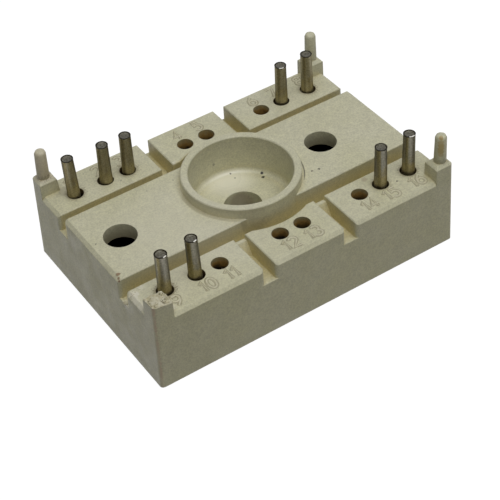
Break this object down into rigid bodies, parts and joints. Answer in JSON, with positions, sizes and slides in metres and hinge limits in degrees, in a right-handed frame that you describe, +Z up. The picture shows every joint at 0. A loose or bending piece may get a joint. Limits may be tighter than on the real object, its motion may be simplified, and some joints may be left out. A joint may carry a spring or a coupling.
{
  "type": "power semiconductor module",
  "caption": "Flat ivory plastic module with a screw bowl in its middle, raised pin blocks, upright round solder pins and thin corner posts.",
  "frame": {"origin": "middle of the face that lies on the heat sink, under the screw hole", "axes": "+X along the long side, +Y towards the row that holds pins 1 to 8, +Z up to the pin tips"},
  "size_m": [0.0406, 0.028, 0.0155],
  "materials": {
    "housing_plastic": "glass-filled moulding, ivory, slightly aged",
    "tinned_copper": "tin plate, dull, lightly scratched",
    "copper": "bare copper layer",
    "ceramic": "fired alumina, white",
    "solder": "solder, satin",
    "silicon": "silicon, dark grey",
    "ribbon": "soft aluminium, satin",
    "adhesive": "cured silicone bead",
    "gel": "soft silicone gel, seen only as a dark floor in the ports"
  },
  "bodies": {
    "root": {"housing": "housing_plastic", "adhesive_seal": "adhesive", "ceramic_substrate": "ceramic", "bottom_copper": "copper", "track_positive": "copper", "track_ac_right": "copper", "track_ac_front": "copper", "track_negative": "copper", "chip_solder": "solder", "pin_solder": "solder", "gel_fill": "gel", "diode_positive_left": "silicon", "bond_ribbon_positive_left": "ribbon", "diode_positive_front": "silicon", "bond_ribbon_positive_front": "ribbon", "diode_negative_right": "silicon", "bond_ribbon_negative_right": "ribbon", "diode_negative_front": "silicon", "bond_ribbon_negative_front": "ribbon", "pin_01": "tinned_copper", "pin_02": "tinned_copper", "pin_03": "tinned_copper", "pin_07": "tinned_copper", "pin_08": "tinned_copper", "pin_09": "tinned_copper", "pin_10": "tinned_copper", "pin_15": "tinned_copper", "pin_16": "tinned_copper"}
  },
  "joints": []
}
